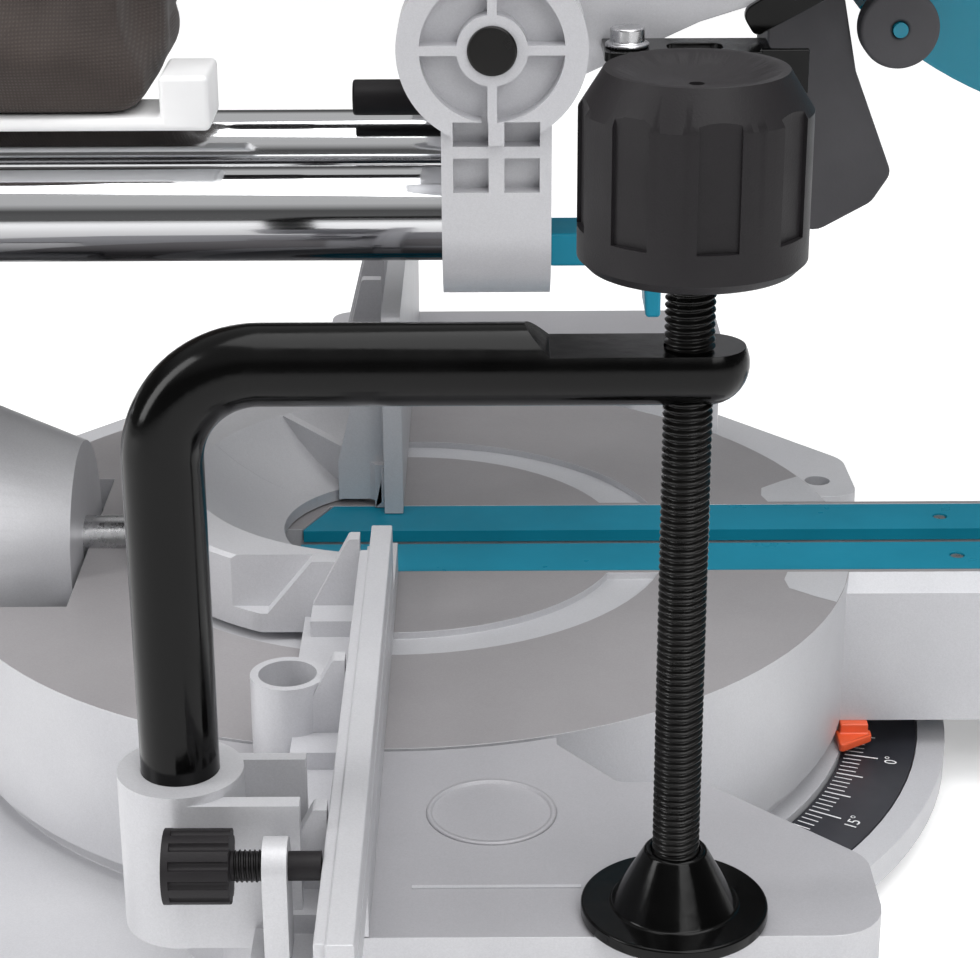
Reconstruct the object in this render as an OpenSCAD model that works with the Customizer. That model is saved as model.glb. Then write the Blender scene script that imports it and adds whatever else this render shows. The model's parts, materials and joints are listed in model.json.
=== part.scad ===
// Sliding compound mitre saw, head raised and pulled forward.
// Origin: turntable axis on the bench. X to the operator's right, Y to the rear, Z up. Millimetres.
// Heights inside the modules are above the table top, which stands table_h above the bench.

/* [Table] */
// Height of the table top above the bench
table_h = 66; // [62:1:80]
// Radius of the round turntable
drum_r = 130; // [124:1:136]
// Height of the turntable's skirt
drum_skirt = 44; // [40:1:46]
// Thickness of the turntable's top
top_t = 10; // [8:0.5:14]
// Inner radius of the shallow ring groove
groove_r = 64.5; // [55:0.5:70]
// Width of the shallow ring groove
groove_w = 13.5; // [8:0.5:18]
// Depth of the shallow ring groove
groove_d = 2; // [1:0.5:3]
// Half width of the front arm
arm_half = 32; // [30:1:36]
// Front end of the arm, measured from the turntable axis
arm_reach = 300; // [290:1:320]
// Half width of the hollow in the front arm
arm_hollow = 21; // [18:0.5:22]

/* [Kerf] */
// Width of each kerf board
board_w = 19; // [17:0.5:21]
// Thickness of each kerf board
board_t = 3.5; // [3:0.5:5]
// Gap between the two kerf boards
kerf_gap = 9.8; // [8:0.2:12]
// How far the kerf runs behind the fence
kerf_rear = 30; // [24:1:34]

/* [Base] */
// Half length of the base across its wings
wing_x = 214; // [208:1:222]
// Front edge of the wings
wing_front = 110; // [100:1:116]
// Rear edge of the wings
wing_rear = 60; // [56:1:70]
// Thickness of the base plate
floor_t = 10; // [8:1:12]
// Height of the rubber feet
foot_h = 6; // [4:1:10]
// Radius of a rubber foot
foot_r = 15; // [10:1:20]
// Half spacing of the bench bolts across
bolt_x = 167; // [162:1:172]
// Half spacing of the bench bolts from front to rear
bolt_y = 145; // [140:1:148]
// Radius of the bench bolt holes
bolt_r = 4.5; // [3:0.5:6]
// Width of the front lip outside the turntable
lip_w = 30; // [27:1:34]

/* [Fences] */
// Thickness of the fences
fence_t = 5.5; // [4:0.5:8]
// Height of the right fence
fence_h = 62; // [50:1:66]
// Height of the fixed ledge on the left
ledge_h = 10; // [8:1:14]
// Height of the sliding fence on the left
slide_fence_h = 29; // [26:1:31]
// Inner end of the sliding fence
slide_fence_in = 59; // [56:1:70]
// Outer end of the sliding fence
slide_fence_out = 262; // [250:1:264]
// Thickness of the fences' bolted foot
foot_t = 5; // [4:0.5:8]

/* [Clamp] */
// Distance of the clamp post from the turntable axis, to the left
post_x = 205; // [203:1:208]
// Distance of the clamp post behind the fence
post_y = 39; // [37:1:42]
// Radius of the bent clamp bar
bar_r = 8.25; // [7:0.25:9]
// Height of the clamp arm's centre line
clamp_h = 125; // [115:1:130]
// Reach of the clamp arm from post to screw
clamp_reach = 104; // [98:1:108]
// Radius of the clamp screw
screw_r = 5; // [4:0.5:6]
// Radius of the clamp knob
knob_r = 22.2; // [18:0.2:24]
// Height of the clamp knob
knob_h = 38; // [30:1:42]
// Radius of the clamp pad
pad_r = 20; // [15:1:22]

/* [Slide] */
// Radius of the slide rods
rod_r = 12.5; // [11:0.5:13]
// Half spacing of the slide rods
rod_x = 32; // [30:1:34]
// Height of the slide rods
rod_h = 107; // [104:1:110]
// Rear end of the slide rods
rod_rear = 316; // [306:1:330]
// Front face of the carriage
carriage_front = 42; // [40:1:46]
// Rear face of the carriage
carriage_rear = 14; // [10:1:16]
// Front face of the slide bearing housing
housing_y = 196; // [190:1:204]
// Length of the slide bearing housing
housing_l = 66; // [50:1:70]

/* [Head] */
// Distance of the chop pivot in front of the fence
pivot_y = 27; // [25:1:29]
// Height of the chop pivot above the slide rods
pivot_lift = 48; // [46:1:50]
// Radius of the chop pivot pin
pivot_r = 6.25; // [5:0.25:7]
// Distance from the chop pivot to the blade's axis
head_reach = 197; // [192:1:202]
// Angle of the raised head above level
head_rise = 25.5; // [23:0.5:27]
// Radius of the saw blade
blade_r = 108; // [104:1:108]
// Thickness of the blade
blade_t = 2.4; // [1.8:0.2:3]
// Radius of the motor housing
motor_r = 42; // [38:1:46]
// Length of the motor housing
motor_l = 116; // [100:1:130]
// Radius of the spindle
spindle_r = 10; // [8:0.5:11]

/* [Hidden] */
$fn = 64;
// Clearances: between pieces, in a running bore, and round the turntable
gap = 0.3;
run = 0.05;
drum_gap = 1.3;
// Base levels
plate_top = -table_h + foot_h + floor_t;
plate_bottom = -table_h + foot_h;
land_top = -drum_skirt - gap;
land_r = drum_r - 26;
lip_r = drum_r + lip_w;
lever_in = lip_r - 10;
scale_t = 2;
scale_in = drum_r + drum_gap;
scale_out = lip_r - 8.3;
scale_top = plate_top - 2;
dish_r = drum_r + 12;
hub_r = 22;
hub_top = -top_t - 8;
bolt_shank_r = 8;
// Kerf places
kerf_in = kerf_gap / 2;
kerf_out = kerf_in + board_w;
kerf_front = arm_reach - 12;
blade_slot = kerf_in + 1.5;
screw_rows = [-arm_reach + 45, -160];
// Rear upstand of the turntable and the bevel bell
dome_front = 70;
dome_rear = 90;
dome_boss_r = 33;
dome_r = 46;
bell_y = dome_rear + 2;
bell_r = 29;
bell_back = 200;
detent_h = -drum_skirt + 4;
detent_y = arm_reach - 50;
detent_r = 3;
shaft_r = 7;
shaft_nut_r = 8;
fence_foot = fence_t + 18;
// Bowl that bridges the two fences behind the kerf, standing clear of the turntable
bowl_in = 34;
bowl_lip = 60;
bowl_out = 74;
bowl_h = 21;
bowl_gap = 0.5;
bowl_split = 22;
bowl_end = 65;
socket_x = 133;
socket_y = 22.5;
socket_r = 7;
// Clamp parts
lock_screw_x = -wing_x - 14;
lock_screw_h = 26;
lock_screw_r = 3;
bar_bend = 20;
boss_r = bar_r + 5;
boss_top = 36;
eye_nose = 3.65;
eye_flat = 3.65;
eye_len = 27.3;
eye_ramp = 5.8;
knob_z = clamp_h + bar_r + 12;
knob_chamfer = 7.5;
knob_top_r = knob_r - 4.7;
pad_t = 3;
pad_hub_h = 13;
pad_lift = 0.3;
screw_y = post_y - clamp_reach;
// Head points; its outlines are drawn for a pivot at drawn_h and moved with the real one
pivot_h = rod_h + pivot_lift;
drawn_h = 155;
arbor_y = -pivot_y - head_reach * cos(head_rise);
arbor_h = pivot_h + head_reach * sin(head_rise);
guard_r = blade_r + 8;
roller_a = -51;
roller_r = guard_r - 3.5;
guard_in = 8.5;
guard_out = 10.5;
case_r = guard_r + 6;
case_in = guard_out + 1;
case_out = case_in + 2.5;
hub_half = 40.2;
cheek_in = hub_half + gap;
cheek_out = 56;
boss_out_r = 24;
lock_x = 20;
lock_h = rod_h + 19;
arm_x = 36;
nose_r = 30;
flange_t = 2.8;
nose_x = blade_t / 2 + flange_t + 0.6;
gear_x = 34;
motor_end = gear_x + gap + motor_l;
cap_l = 22;
bearing_r = 16;
tube_x = 22;
tube_h = pivot_h + 88;
tube_r = 17;
tube_wall = 2.5;
bag_front = 59;
tube_rear = bag_front - 2;
bag_rear = 250;
bag_low = pivot_h - 21.5;
bag_high = pivot_h + 127;
bag_left = -36;
bag_right = 50;
housing_r = 19;
bush_r = 16;

// Helpers: a polygon with rounded corners from [x, y, radius] triples
function unit(v) = v / norm(v);
function turn(a) = a - 360 * floor((a + 180) / 360);
function corner(p, c, n, r) =
    let (u = unit(p - c), w = unit(n - c), half = acos(u * w) / 2)
    let (mid = c + unit(u + w) * r / sin(half))
    let (s = c + u * r / tan(half) - mid, e = c + w * r / tan(half) - mid)
    let (a = atan2(s.y, s.x), sweep = turn(atan2(e.y, e.x) - a))
    [for (i = [0:6]) mid + r * [cos(a + sweep * i / 6), sin(a + sweep * i / 6)]];
function flat(p) = [p.x, p.y];
function rounded(pts) =
    let (n = len(pts))
    [for (i = [0:n - 1]) let (c = pts[i], p = pts[(i + n - 1) % n], q = pts[(i + 1) % n])
        each c.z > 0 ? corner(flat(p), flat(c), flat(q), c.z) : [flat(c)]];
// A point of the head at an angle round the blade's axis, from the rear upwards
function round_blade(r, a) = [arbor_y + r * cos(a), arbor_h + r * sin(a)];

module at_table() { translate([0, 0, table_h]) children(); }
module x_cyl(r, x0, x1, y, z) { translate([x0, y, z]) rotate([0, 90, 0]) cylinder(r = r, h = x1 - x0); }
module y_cyl(r, y0, y1, x, z) { translate([x, y0, z]) rotate([-90, 0, 0]) cylinder(r = r, h = y1 - y0); }
module z_cyl(r, z0, z1, x = 0, y = 0) { translate([x, y, z0]) cylinder(r = r, h = z1 - z0); }
module box(a, b) { translate(a) cube(b - a); }
module side_slab(x0, x1, pts) {
    translate([x0, 0, 0]) rotate([90, 0, 90]) linear_extrude(x1 - x0) polygon(rounded(pts));
}
module plate(z0, z1, pts) { translate([0, 0, z0]) linear_extrude(z1 - z0) polygon(rounded(pts)); }
module on_blade_axis(a0, sweep) {
    translate([0, arbor_y, arbor_h]) rotate([0, 90, 0]) rotate([0, 0, a0 + 90])
        rotate_extrude(angle = sweep) children();
}
module on_head() { translate([0, 0, pivot_h - drawn_h]) children(); }
module both_sides() { children(); mirror([1, 0, 0]) children(); }

// Base casting: low dish, two hollow wings, splayed feet and the front lip
wing = [[-90, wing_rear - 10, 0], [-140, wing_rear - 10, 8], [-165, wing_rear - 28, 8],
    [-wing_x, wing_rear - 28, 8],
    [-wing_x, -wing_front, 12], [-182, -wing_front, 10],
    [-147, -76, 6], [-147, -56, 4], [-128, -42, 0], [-90, -42, 0]];
foot_plate = [[-95, -105, 0], [-152, -112, 0], [-152, -158, 8], [-188, -157, 14],
    [-240, -112, 20], [-250, -60, 20], [-250, 60, 20], [-240, 112, 20],
    [-188, 157, 14], [-152, 158, 8], [-152, 112, 0], [-95, 105, 0]];
module base_casting() color("lightgray") at_table() {
    wall = 6;
    difference() {
        union() {
            z_cyl(dish_r, plate_bottom, plate_top);
            both_sides() plate(plate_bottom, plate_top, foot_plate);
            both_sides() plate(plate_top - 1, 0, wing);
            intersection() {
                z_cyl(lip_r, plate_bottom, scale_top);
                plate(plate_bottom, scale_top, [[-150, -60, 0], [-150, -170, 0], [150, -170, 0],
                    [150, -60, 0]]);
            }
            difference() {
                z_cyl(drum_r - 4, plate_top - 1, land_top);
                z_cyl(land_r, plate_top - 2, land_top + 1);
            }
            z_cyl(hub_r, plate_top - 1, land_top);
            both_sides() for (y = [-bolt_y, bolt_y]) z_cyl(12, -table_h, plate_bottom + 1, -bolt_x, y);
        }
        difference() {
            z_cyl(drum_r + drum_gap, plate_top, 1);
            z_cyl(drum_r - 3, plate_top - 1, land_top);
        }
        intersection() {
            difference() {
                z_cyl(scale_out + gap, scale_top - scale_t, plate_top + 1);
                z_cyl(scale_in, scale_top - scale_t - 1, plate_top + 2);
            }
            plate(scale_top - scale_t - 1, plate_top + 2,
                [[-118, -75, 0], [-118, -180, 0], [118, -180, 0], [118, -75, 0]]);
        }
        both_sides() box([-wing_x + wall, -wing_front + 34, plate_bottom - 1],
            [-drum_r - 26, wing_rear - 28 - wall, -wall]);
        both_sides() z_cyl(15, -1.5, 1, -161, -26);
        z_cyl(bolt_shank_r, plate_bottom - 1, 1);
        both_sides() for (y = [-bolt_y, bolt_y]) z_cyl(bolt_r, -table_h - 1, plate_top + 1, -bolt_x, y);
    }
}
module rubber_feet() color("dimgray") both_sides() for (y = [-95, 95]) z_cyl(foot_r, 0, foot_h, -220, y);
module mitre_scale() color("black") at_table() intersection() {
    difference() {
        z_cyl(scale_out, scale_top - scale_t, scale_top);
        z_cyl(scale_in + gap, scale_top - scale_t - 1, scale_top + 1);
    }
    plate(scale_top - 3, scale_top + 1, [[-117, -76, 0], [-117, -180, 0], [117, -180, 0], [117, -76, 0]]);
}
module turntable_pivot() color("silver") at_table() {
    z_cyl(bolt_shank_r, plate_bottom, hub_top + gap);
    z_cyl(13, hub_top + gap, hub_top + 5);
}

// Fences
module gusset(x, t, depth, h) {
    foot = 9;
    side_slab(x, x + t, [[fence_t + 2.9, gap, 0], [fence_t + 2.9, h, 0], [fence_t + 9, h, 1],
        [depth - 3, foot, 1], [depth, foot, 1], [depth, gap, 0]]);
}
// Left gusset: a thin plate with a slanted edge, standing on a low block
module ledge_gusset(x) {
    block_h = 9.5;
    side_slab(x, x + 5, [[fence_t + 2.9, gap, 0], [fence_t + 2.9, slide_fence_h - 0.5, 0],
        [fence_t + 5.7, slide_fence_h - 0.5, 1], [fence_t + 15.7, block_h, 1], [fence_t + 15.7, gap, 0]]);
    box([x - 10, fence_t + 2.9, gap], [x + 0.1, fence_t + 15.7, block_h]);
}
module fence_bowl(x0, x1) intersection() {
    rotate_extrude() polygon([[bowl_in, bowl_gap], [bowl_out, bowl_gap], [bowl_out, bowl_h - 1],
        [bowl_out - 1, bowl_h], [bowl_lip, bowl_h], [bowl_lip - 6, 15], [bowl_lip - 13, 9.5],
        [bowl_lip - 20, 5.6], [bowl_in, 4]]);
    box([x0, fence_t + 2.9, 0], [x1, bowl_out + 1, bowl_h + 1]);
}
module left_fence() color("gainsboro") at_table() difference() {
    wall_top = boss_top - 2;
    union() {
        box([-wing_x, 0, gap], [-27, fence_t, ledge_h]);
        box([-wing_x - 20, fence_t - 0.01, gap], [-27, fence_t + 3, ledge_h - 1]);
        box([-wing_x - 20, fence_t + 2.9, gap], [-bowl_end, fence_foot, foot_t]);
        fence_bowl(-bowl_end, bowl_split);
        for (x = [-bowl_end - 2.5, -socket_x - 6.5, -post_x - 5]) ledge_gusset(x);
        z_cyl(boss_r, gap, boss_top, -post_x, post_y);
        box([-post_x - 13, fence_t + 7.9, gap], [-post_x - 9, post_y, wall_top]);
        box([-post_x + 7, fence_t + 7.9, gap], [-post_x + 10, post_y, wall_top]);
        z_cyl(socket_r + 2, gap, 22, -socket_x, socket_y);
        box([lock_screw_x - 6, fence_t + 9.5, gap], [lock_screw_x + 6, fence_t + 14.5, lock_screw_h]);
        y_cyl(6, fence_t + 9.5, fence_t + 14.5, lock_screw_x, lock_screw_h);
    }
    z_cyl(bar_r + run, 4, boss_top + 1, -post_x, post_y);
    z_cyl(socket_r, 4, slide_fence_h, -socket_x, socket_y);
    y_cyl(lock_screw_r + run, fence_t + 2, fence_t + 15, lock_screw_x, lock_screw_h);
    // Slanted end of the bowl's rim
    side_slab(-bowl_end - 1, -bowl_end + 5, [[fence_t + 15, bowl_h + 1, 0], [fence_t + 28, 6, 0],
        [fence_t + 40, 6, 0], [fence_t + 40, bowl_h + 1, 0]]);
}
module right_fence() color("gainsboro") at_table() {
    rib_h = fence_h - 10;
    translate([0, fence_t, 0]) rotate([90, 0, 0]) linear_extrude(fence_t)
        polygon(rounded([[17.5, gap, 0], [17.5, fence_h, 4], [wing_x - 60, fence_h, 12],
            [wing_x - 4, fence_h - 18, 8], [wing_x - 4, gap, 0]]));
    box([bowl_split + gap, fence_t - 0.01, gap], [60, fence_t + 3, 14]);
    box([bowl_out + 1, fence_t - 0.01, gap], [wing_x - 4, fence_t + 8, 14]);
    box([90, fence_t + 7.9, gap], [wing_x - 4, fence_foot, foot_t]);
    fence_bowl(bowl_split + 0.1, bowl_out + 1);
    side_slab(25, 29, [[fence_t - 0.1, 2, 0], [fence_t - 0.1, rib_h, 0], [fence_t + 5, rib_h, 2],
        [fence_t + 14, 14, 2], [fence_t + 14, 2, 0]]);
    // Fin from the fence's inner end to the far rim of the bowl
    translate([23, fence_t - 0.5, 0]) rotate([0, 0, -37.7])
        side_slab(-1.5, 1.5, [[0, 2, 0], [0, 13, 0], [40, bowl_h, 0], [40, 6, 0], [30, 2, 0]]);
    for (x = [86, 116, 146]) gusset(x, 4, 28, rib_h);
}
module fence_bolts() color("silver") at_table()
    for (x = [-185, -118, 101, 175]) z_cyl(4, foot_t, foot_t + 4, x, fence_t + 13);
module sliding_fence() color("gainsboro") at_table() {
    difference() {
        box([-slide_fence_out, 0, ledge_h + gap], [-slide_fence_in, fence_t, slide_fence_h]);
        box([-slide_fence_out - 1, -1, 19], [-slide_fence_in - 8, 0.8, 21]);
    }
    box([-slide_fence_out + 2, fence_t - 0.01, ledge_h + gap],
        [-slide_fence_in - 14, fence_t + 2.5, slide_fence_h - 1]);
}
module fence_thumbscrew() color("black") at_table() {
    y_cyl(lock_screw_r, fence_t + 2.8, fence_t + 24, lock_screw_x, lock_screw_h);
    translate([lock_screw_x, fence_t + 21, lock_screw_h]) difference() {
        y_cyl(7.7, 0, 13.5, 0, 0);
        for (a = [0:30:330]) rotate([0, a, 0]) y_cyl(1, -1, 12, 7.9, 0);
    }
}

// Work clamp on the left
module clamp_bar() color("black") at_table() difference() {
    union() {
        z_cyl(bar_r, 4.3, clamp_h - bar_bend, -post_x, post_y);
        translate([-post_x, post_y - bar_bend, clamp_h - bar_bend]) rotate([90, 0, 90])
            rotate_extrude(angle = 90) translate([bar_bend, 0]) circle(bar_r);
        translate([-post_x, screw_y - eye_nose, clamp_h]) rotate([90, 0, 0]) rotate_extrude()
            polygon([[0, -clamp_reach + bar_bend - eye_nose], [bar_r, -clamp_reach + bar_bend - eye_nose],
                for (a = [0:10:80]) bar_r * [cos(a), sin(a)], [0, bar_r * sin(80)]]);
    }
    side_slab(-post_x - 20, -post_x + 20, [[screw_y - 30, clamp_h + eye_flat, 0],
        [screw_y + eye_len, clamp_h + eye_flat, 0], [screw_y + eye_len + eye_ramp, clamp_h + bar_r + 1, 0],
        [screw_y - 30, clamp_h + bar_r + 1, 0]]);
    z_cyl(screw_r + run, clamp_h - 20, clamp_h + 20, -post_x, screw_y);
}
module clamp_screw() color("dimgray") at_table()
    z_cyl(screw_r, pad_lift + pad_t, knob_z + knob_h - 12, -post_x, screw_y);
module clamp_knob() color("black") at_table() translate([-post_x, screw_y, knob_z]) difference() {
    rotate_extrude() polygon([[screw_r, 0], [knob_r - 2, 0], [knob_r, 2], [knob_r, knob_h - knob_chamfer],
        [knob_top_r, knob_h], [knob_top_r - 1.3, knob_h], [knob_top_r - 7, knob_h - 2.2],
        [1.5, knob_h - 3], [1.5, knob_h - 12], [screw_r, knob_h - 12]]);
    for (a = [7.6:45:360]) rotate([0, 0, a]) box([knob_r - 1.2, -4, 8], [knob_r + 2, 4, knob_h + 1]);
}
module clamp_pad() color("black") at_table() translate([-post_x, screw_y, pad_lift]) rotate_extrude()
    polygon([[0, 0], [pad_r, 0], [pad_r, pad_t], [13.5, pad_t], [screw_r + 1.5, pad_t + pad_hub_h],
        [screw_r + run, pad_t + pad_hub_h], [screw_r + run, pad_t], [0, pad_t]]);

// Turntable with its front arm and rear upstand
module front_arm(half_top, half_low, y0, y1, z0, z1) {
    translate([0, y0, 0]) rotate([90, 0, 0]) linear_extrude(y0 - y1)
        polygon([[-half_top, z1], [-half_low, z1 - 4], [-half_low, z0], [half_low, z0],
            [half_low, z1 - 4], [half_top, z1]]);
}
module turntable() color("gainsboro") at_table() difference() {
    union() {
        difference() {
            z_cyl(drum_r, -drum_skirt, 0);
            z_cyl(drum_r - 7, -drum_skirt - 1, -top_t);
        }
        z_cyl(hub_r, -drum_skirt, -top_t + 0.1);
        difference() {
            front_arm(arm_half - 6, arm_half, -60, -arm_reach, -drum_skirt, 0);
            box([-arm_hollow, -arm_reach + 8, -drum_skirt - 1], [arm_hollow, -50, -top_t]);
        }
        // Rear boss under the table top, which holds the bevel shaft
        difference() {
            rotate([-90, 0, 0]) rotate_extrude()
                polygon([[0, dome_front], [dome_boss_r, dome_front], [dome_boss_r, dome_rear - 10],
                    [bell_r - 1, dome_rear], [0, dome_rear]]);
            box([-dome_boss_r - 1, dome_front - 1, -1], [dome_boss_r + 1, dome_rear + 1, dome_boss_r + 1]);
        }
    }
    // Ring groove, board seat and blade slot
    difference() {
        z_cyl(groove_r + groove_w, -groove_d, 1);
        z_cyl(groove_r, -groove_d - 1, 2);
        box([-kerf_out - 2, -200, -20], [kerf_out + 2, 200, 20]);
    }
    box([-kerf_out - gap, -kerf_front, -board_t], [kerf_out + gap, kerf_rear - 8, 1]);
    plate(-board_t, 1, [[-kerf_out - gap, kerf_rear - 8.1, 0], [kerf_out + gap, kerf_rear - 8.1, 0],
        [kerf_in, kerf_rear, 0], [-kerf_in, kerf_rear, 0]]);
    box([-blade_slot, -kerf_front + 4, -top_t - 2], [blade_slot, kerf_rear + 6, 1]);
    box([-dome_r - 1, dome_rear + 0.5, -drum_skirt - 1], [dome_r + 1, drum_r + 1, 1]);
    z_cyl(bolt_shank_r + run, -drum_skirt - 1, hub_top);
    z_cyl(14, hub_top, -top_t + 0.2);
    y_cyl(shaft_r, dome_front + 6, dome_rear + 1, 0, 0);
    y_cyl(5 + run, -arm_reach - 1, -arm_reach + 20, 0, -26);
    x_cyl(detent_r, -arm_half - 1, arm_half + 1, -detent_y, detent_h);
}
function board(side) = [[side * kerf_in, -kerf_front + gap, 0], [side * kerf_out, -kerf_front + gap, 0],
    [side * kerf_out, kerf_rear - 9, 0], [side * (kerf_in + 1), kerf_rear - 1, 0],
    [side * kerf_in, kerf_rear - 1, 0]];
module kerf_board(side) difference() {
    plate(-board_t, 0, side < 0 ? board(side) : [for (i = [4:-1:0]) board(side)[i]]);
    for (y = screw_rows) z_cyl(2.2, -10, 1, side * (kerf_in + board_w / 2), y);
}
module left_kerf_board() color("teal") at_table() kerf_board(-1);
module right_kerf_board() color("teal") at_table() kerf_board(1);
module board_screws() color("silver") at_table() both_sides() for (y = screw_rows)
    z_cyl(2, -board_t, -0.4, kerf_in + board_w / 2, y);
module mitre_pointer() color("orangered") at_table() {
    low = scale_top + 2.5;
    tip = -drum_r + 1;
    plate(low, low + 2.5, [[-arm_half, tip + 4, 0], [-arm_half, tip - 6, 0], [-arm_half - 3, tip - 6, 1],
        [-arm_half - 10, tip + 4, 1]]);
    box([-arm_half - 2.5, tip - 5, low], [-arm_half + 1.2, tip + 3, -drum_skirt]);
}
module bevel_shaft() color("silver") at_table() {
    y_cyl(shaft_r, dome_front + 6, bell_back + 5, 0, 0);
    y_cyl(shaft_nut_r, bell_back + run, bell_back + 22, 0, 0);
}
module mitre_lock_rod() color("silver") at_table() y_cyl(5, -arm_reach - 14, -lever_in, 0, -26);
module mitre_lock_grip() color("black") at_table() difference() {
    translate([0, 0, -26]) rotate([90, 0, 0]) rotate_extrude()
        polygon([[5, arm_reach + gap], [15, arm_reach + gap], [17, arm_reach + 6], [21, arm_reach + 16],
            [22, arm_reach + 34], [17, arm_reach + 44], [0, arm_reach + 44], [0, arm_reach + 14],
            [5, arm_reach + 14]]);
    for (a = [0:60:300]) translate([0, 0, -26]) rotate([0, a, 0])
        y_cyl(4, -arm_reach - 48, -arm_reach - 10, 24, 0);
}
module detent_lever() color("black") at_table() difference() {
    union() {
        side_slab(-9, 9, [[-lever_in, -49, 0], [-lever_in, -45, 0], [-arm_reach + 10, -45, 0],
            [-arm_reach + 2, -50, 2], [-arm_reach - 32, -51, 1], [-arm_reach - 32, -56, 1],
            [-arm_reach + 4, -55, 2], [-arm_reach + 14, -49, 0]]);
        x_cyl(6, -9, 9, -detent_y, detent_h);
    }
    x_cyl(detent_r + run, -10, 10, -detent_y, detent_h);
}
module detent_pin() color("silver") at_table()
    x_cyl(detent_r, -arm_half + 1, arm_half - 1, -detent_y, detent_h);

// Bevel arm behind the turntable, with the slide bearings
module bevel_arm() color("gainsboro") at_table() difference() {
    union() {
        rotate([-90, 0, 0]) rotate_extrude()
            polygon([[0, bell_y], [bell_r, bell_y], [dome_r, bell_y + 42], [dome_r, bell_back - 6],
                [dome_r - 6, bell_back], [0, bell_back]]);
        side_slab(-30, 30, [[140, 10, 0], [150, 44, 14], [housing_y, rod_h - 12, 8],
            [housing_y, rod_h + 8, 4],
            [housing_y + housing_l, rod_h + 8, 4], [housing_y + housing_l, rod_h - 16, 10],
            [bell_back - 6, 20, 0],
            [bell_back - 10, -20, 0], [160, -20, 0]]);
        both_sides() y_cyl(housing_r, housing_y, housing_y + housing_l, rod_x, rod_h);
    }
    y_cyl(shaft_r + run, bell_y - 1, bell_back + 1, 0, 0);
    both_sides() y_cyl(bush_r, housing_y - 1, housing_y + housing_l + 1, rod_x, rod_h);
    x_cyl(4 + run, rod_x + 8, rod_x + 40, housing_y + 33, rod_h);
    box([-3, bell_back - 72, dome_r - 1], [3, bell_back - 60, dome_r + 1]);
}
module slide_bushes() color("goldenrod") at_table() both_sides()
    for (y = [housing_y, housing_y + housing_l - 24])
    difference() {
        y_cyl(bush_r, y, y + 24, rod_x, rod_h);
        y_cyl(rod_r + run, y - 1, y + 25, rod_x, rod_h);
    }
module bevel_pointer() color("orangered") at_table()
    box([-2, bell_back - 70, dome_r - 1], [2, bell_back - 62, dome_r + 4]);
module bevel_lock_lever() color("black") at_table() difference() {
    union() {
        y_cyl(14, bell_back + gap, bell_back + 18, 0, 0);
        translate([0, bell_back + gap, 0]) rotate([-90, 0, 0]) linear_extrude(10)
            polygon(rounded([[0, -8, 0], [60, 12, 5], [92, 26, 7], [88, 40, 7], [56, 28, 5], [0, 8, 0]]));
    }
    y_cyl(shaft_nut_r + run, bell_back - 1, bell_back + 30, 0, 0);
}
module slide_lock_knob() color("black") at_table() {
    x_cyl(4, rod_x + rod_r + 4.5, rod_x + housing_r + 6, housing_y + 33, rod_h);
    difference() {
        x_cyl(12, rod_x + housing_r + 5, rod_x + housing_r + 20, housing_y + 33, rod_h);
        for (a = [0:60:300]) translate([0, housing_y + 33, rod_h]) rotate([a, 0, 0])
            x_cyl(3, rod_x, rod_x + 60, 13.5, 0);
    }
}

// Sliding carriage
module rod(side) y_cyl(rod_r, -carriage_front, rod_rear, side * rod_x, rod_h);
module left_rod() color("silver") at_table() rod(-1);
module right_rod() color("silver") at_table() rod(1);
module carriage() color("gainsboro") at_table() difference() {
    union() {
        both_sides() y_cyl(21, -carriage_front, -carriage_rear, rod_x, rod_h);
        box([-rod_x, -carriage_front, rod_h - 14], [rod_x, -carriage_rear, rod_h + 14]);
        y_cyl(7, -carriage_front + 11, -carriage_rear, lock_x, lock_h);
        both_sides() {
            x_cyl(boss_out_r, cheek_in, cheek_out, -pivot_y, pivot_h);
            box([cheek_in, -carriage_front, rod_h], [cheek_out - 3, -carriage_rear, pivot_h]);
        }
    }
    both_sides() y_cyl(rod_r, -carriage_front - 1, -carriage_rear + 1, rod_x, rod_h);
    x_cyl(pivot_r, -cheek_out - 1, cheek_out + 1, -pivot_y, pivot_h);
    // Ribbed face of each pivot boss: a ring pocket crossed by four spokes
    both_sides() translate([cheek_out - 6, -pivot_y, pivot_h]) difference() {
        x_cyl(18.2, 0, 7, 0, 0);
        x_cyl(8.9, -1, 8, 0, 0);
        for (a = [0, 90]) rotate([a, 0, 0]) box([-1, -1.2, -20], [8, 1.2, 20]);
    }
    // Open pockets on the outer side, above the rod boss
    both_sides() for (y = [-carriage_front + 3, -carriage_front + 16]) {
        box([cheek_out - 9, y, rod_h + 23], [cheek_out, y + 9, rod_h + 30]);
        box([cheek_out - 9, y, rod_h + 11], [cheek_out, y + 9, rod_h + 20]);
    }
    y_cyl(3 + run, -carriage_front + 10, -carriage_rear + 1, lock_x, lock_h);
}
module rod_cover() color("teal") at_table() side_slab(-rod_x, -15, [[-carriage_front, rod_h - 6, 0],
    [-carriage_front - 22, rod_h - 6, 2], [-carriage_front - 30, rod_h - 14, 2],
    [-carriage_front - 30, rod_h - 29.5, 1], [-carriage_front - 26, rod_h - 29.5, 1],
    [-carriage_front - 25, rod_h - 15, 2], [-carriage_front, rod_h - 15, 0]]);
module rod_end_plate() color("black") at_table()
    translate([0, rod_rear + 8, rod_h]) rotate([90, 0, 0]) linear_extrude(8)
        polygon(rounded([[-rod_x - 15, -13, 8], [rod_x + 15, -13, 8], [rod_x + 15, 13, 8],
            [-rod_x - 15, 13, 8]]));
module pivot_pin() color("dimgray") at_table()
    x_cyl(pivot_r, -cheek_out - 1, cheek_out + 1, -pivot_y, pivot_h);
module head_lock_pin() color("black") at_table() {
    y_cyl(3, -carriage_front + 12, -carriage_rear + 4, lock_x, lock_h);
    y_cyl(5, -carriage_rear + gap, -carriage_rear + 26, lock_x, lock_h);
}

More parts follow.
